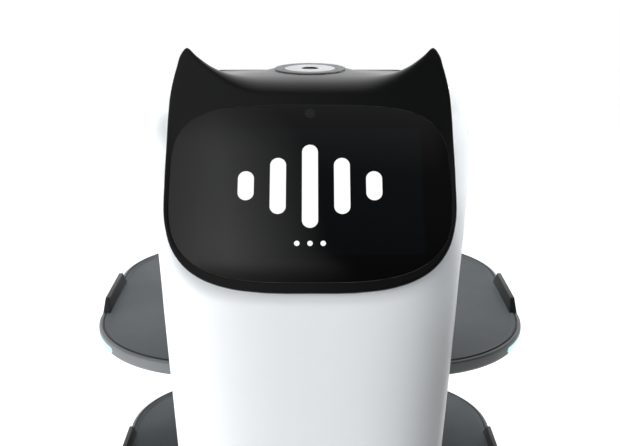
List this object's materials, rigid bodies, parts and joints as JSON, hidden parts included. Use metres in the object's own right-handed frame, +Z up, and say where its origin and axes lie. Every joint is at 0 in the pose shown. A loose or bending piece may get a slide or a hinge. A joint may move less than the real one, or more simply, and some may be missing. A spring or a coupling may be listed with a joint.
{
  "type": "tray-carrying service robot",
  "caption": "Self-driving serving robot with a leaning black display face, two ear-shaped peaks, a slim white column, round-cornered trays and a wheeled base.",
  "frame": {"origin": "on the floor under the middle of the base", "axes": "+X to the viewer's right when looking at the face, +Y from the face towards the trays at the rear, +Z up"},
  "size_m": [0.54, 0.52, 1.2908],
  "materials": {
    "white_gloss": "smooth gloss white paint",
    "black_gloss": "deep gloss black",
    "face_glass": "black-backed hard glass",
    "display": "switched-on display panel",
    "ring_grey": "satin dark grey",
    "disc_grey": "light grey",
    "lens_dark": "dark lens",
    "carrier_grey": "satin mid grey",
    "liner_black": "satin black",
    "mat_grey": "matt dark grey",
    "light_cyan": "lit light guide",
    "metal_plate": "brushed aluminium plate",
    "metal_dark": "black powder coat",
    "spring_steel": "bright spring steel",
    "housing_black": "moulded black",
    "rubber_black": "black rubber",
    "hub_grey": "cast hub",
    "stop_red": "signal red",
    "button_white": "white button",
    "tinted_window": "infrared-clear dark window"
  },
  "bodies": {
    "body": {"chassis_plate": "metal_plate", "base_cover": "white_gloss", "base_deck": "white_gloss", "bumper_strip": "rubber_black", "lidar_window": "tinted_window", "lidar_base": "housing_black", "drive_controller": "metal_dark", "charge_socket": "housing_black", "column_frame": "metal_plate", "column_front_shell": "white_gloss", "column_rear_cover": "white_gloss", "cover_screws": "spring_steel", "depth_camera": "metal_dark", "depth_camera_window": "tinted_window", "tray_lights": "light_cyan", "head_bracket": "metal_plate", "main_computer": "metal_dark", "speakers": "housing_black", "head_shell": "white_gloss", "head_hood": "black_gloss", "face_glass": "face_glass", "face_display": "display", "front_camera": "lens_dark", "top_camera_ring": "ring_grey", "top_camera_disc": "disc_grey", "top_camera_lens": "lens_dark", "estop_base": "housing_black", "suspension_spring_left": "spring_steel", "suspension_spring_right": "spring_steel", "tray_carrier_1": "carrier_grey", "tray_carrier_2": "carrier_grey", "tray_carrier_3": "carrier_grey", "tray_carrier_4": "carrier_grey"},
    "lidar_head": {"lidar_rotor": "housing_black"},
    "battery": {"battery_pack": "housing_black"},
    "arm_left": {"suspension_arm_left": "metal_dark"},
    "drive_wheel_left": {"drive_hub_left": "hub_grey", "drive_tyre_left": "rubber_black"},
    "arm_right": {"suspension_arm_right": "metal_dark"},
    "drive_wheel_right": {"drive_hub_right": "hub_grey", "drive_tyre_right": "rubber_black"},
    "caster_fork_body_1": {"caster_fork_1": "metal_plate"},
    "caster_wheel_body_1": {"caster_wheel_1": "rubber_black"},
    "caster_fork_body_2": {"caster_fork_2": "metal_plate"},
    "caster_wheel_body_2": {"caster_wheel_2": "rubber_black"},
    "caster_fork_body_3": {"caster_fork_3": "metal_plate"},
    "caster_wheel_body_3": {"caster_wheel_3": "rubber_black"},
    "caster_fork_body_4": {"caster_fork_4": "metal_plate"},
    "caster_wheel_body_4": {"caster_wheel_4": "rubber_black"},
    "tray_1": {"tray_liner_1": "liner_black", "tray_mat_1": "mat_grey"},
    "tray_2": {"tray_liner_2": "liner_black", "tray_mat_2": "mat_grey"},
    "tray_3": {"tray_liner_3": "liner_black", "tray_mat_3": "mat_grey"},
    "tray_4": {"tray_liner_4": "liner_black", "tray_mat_4": "mat_grey"},
    "estop_stem": {"estop_plunger": "housing_black"},
    "estop_head": {"estop_cap": "stop_red"},
    "power_key": {"power_button": "button_white"}
  },
  "joints": [
    {"name": "lidar_spin", "type": "hinge", "parent": "body", "child": "lidar_head", "pos_m": [0, -0.22, 0.164], "axis": [0, 0, 1], "continuous": true},
    {"name": "battery_slide", "type": "slide", "parent": "body", "child": "battery", "axis": [0, 1, 0], "range_m": [0, 0.22]},
    {"name": "suspension_left", "type": "hinge", "parent": "body", "child": "arm_left", "pos_m": [-0.168, 0.118, 0.14], "axis": [1, 0, 0], "range_deg": [-2.5, 4], "stiffness_Nm_per_rad": 70, "springref_deg": 6.88, "deforming": ["suspension_spring_left"]},
    {"name": "drive_left", "type": "hinge", "parent": "arm_left", "child": "drive_wheel_left", "pos_m": [-0.202, 0, 0.084], "axis": [1, 0, 0], "continuous": true},
    {"name": "suspension_right", "type": "hinge", "parent": "body", "child": "arm_right", "pos_m": [0.168, 0.118, 0.14], "axis": [1, 0, 0], "range_deg": [-2.5, 4], "stiffness_Nm_per_rad": 70, "springref_deg": 6.88, "deforming": ["suspension_spring_right"]},
    {"name": "drive_right", "type": "hinge", "parent": "arm_right", "child": "drive_wheel_right", "pos_m": [0.202, 0, 0.084], "axis": [1, 0, 0], "continuous": true},
    {"name": "caster_swivel_1", "type": "hinge", "parent": "body", "child": "caster_fork_body_1", "pos_m": [-0.158, -0.168, 0.09], "axis": [0, 0, 1], "continuous": true},
    {"name": "caster_roll_1", "type": "hinge", "parent": "caster_fork_body_1", "child": "caster_wheel_body_1", "pos_m": [-0.158, -0.146, 0.03], "axis": [1, 0, 0], "continuous": true},
    {"name": "caster_swivel_2", "type": "hinge", "parent": "body", "child": "caster_fork_body_2", "pos_m": [-0.158, 0.168, 0.09], "axis": [0, 0, 1], "continuous": true},
    {"name": "caster_roll_2", "type": "hinge", "parent": "caster_fork_body_2", "child": "caster_wheel_body_2", "pos_m": [-0.158, 0.19, 0.03], "axis": [1, 0, 0], "continuous": true},
    {"name": "caster_swivel_3", "type": "hinge", "parent": "body", "child": "caster_fork_body_3", "pos_m": [0.158, -0.168, 0.09], "axis": [0, 0, 1], "continuous": true},
    {"name": "caster_roll_3", "type": "hinge", "parent": "caster_fork_body_3", "child": "caster_wheel_body_3", "pos_m": [0.158, -0.146, 0.03], "axis": [1, 0, 0], "continuous": true},
    {"name": "caster_swivel_4", "type": "hinge", "parent": "body", "child": "caster_fork_body_4", "pos_m": [0.158, 0.168, 0.09], "axis": [0, 0, 1], "continuous": true},
    {"name": "caster_roll_4", "type": "hinge", "parent": "caster_fork_body_4", "child": "caster_wheel_body_4", "pos_m": [0.158, 0.19, 0.03], "axis": [1, 0, 0], "continuous": true},
    {"name": "tray_lift_1", "type": "slide", "parent": "body", "child": "tray_1", "axis": [0, 0, 1], "range_m": [0, 0.08]},
    {"name": "tray_lift_2", "type": "slide", "parent": "body", "child": "tray_2", "axis": [0, 0, 1], "range_m": [0, 0.08]},
    {"name": "tray_lift_3", "type": "slide", "parent": "body", "child": "tray_3", "axis": [0, 0, 1], "range_m": [0, 0.08]},
    {"name": "tray_lift_4", "type": "slide", "parent": "body", "child": "tray_4", "axis": [0, 0, 1], "range_m": [0, 0.08]},
    {"name": "estop_push", "type": "slide", "parent": "body", "child": "estop_stem", "axis": [0, -1, 0], "range_m": [0, 0.005]},
    {"name": "estop_twist", "type": "hinge", "parent": "estop_stem", "child": "estop_head", "pos_m": [0.048, 0.06, 1.19], "axis": [0, 1, 0], "range_deg": [0, 45], "stiffness_Nm_per_rad": 0.05},
    {"name": "power_push", "type": "slide", "parent": "body", "child": "power_key", "axis": [0, -1, 0], "range_m": [0, 0.0025], "stiffness_N_per_m": 400}
  ]
}
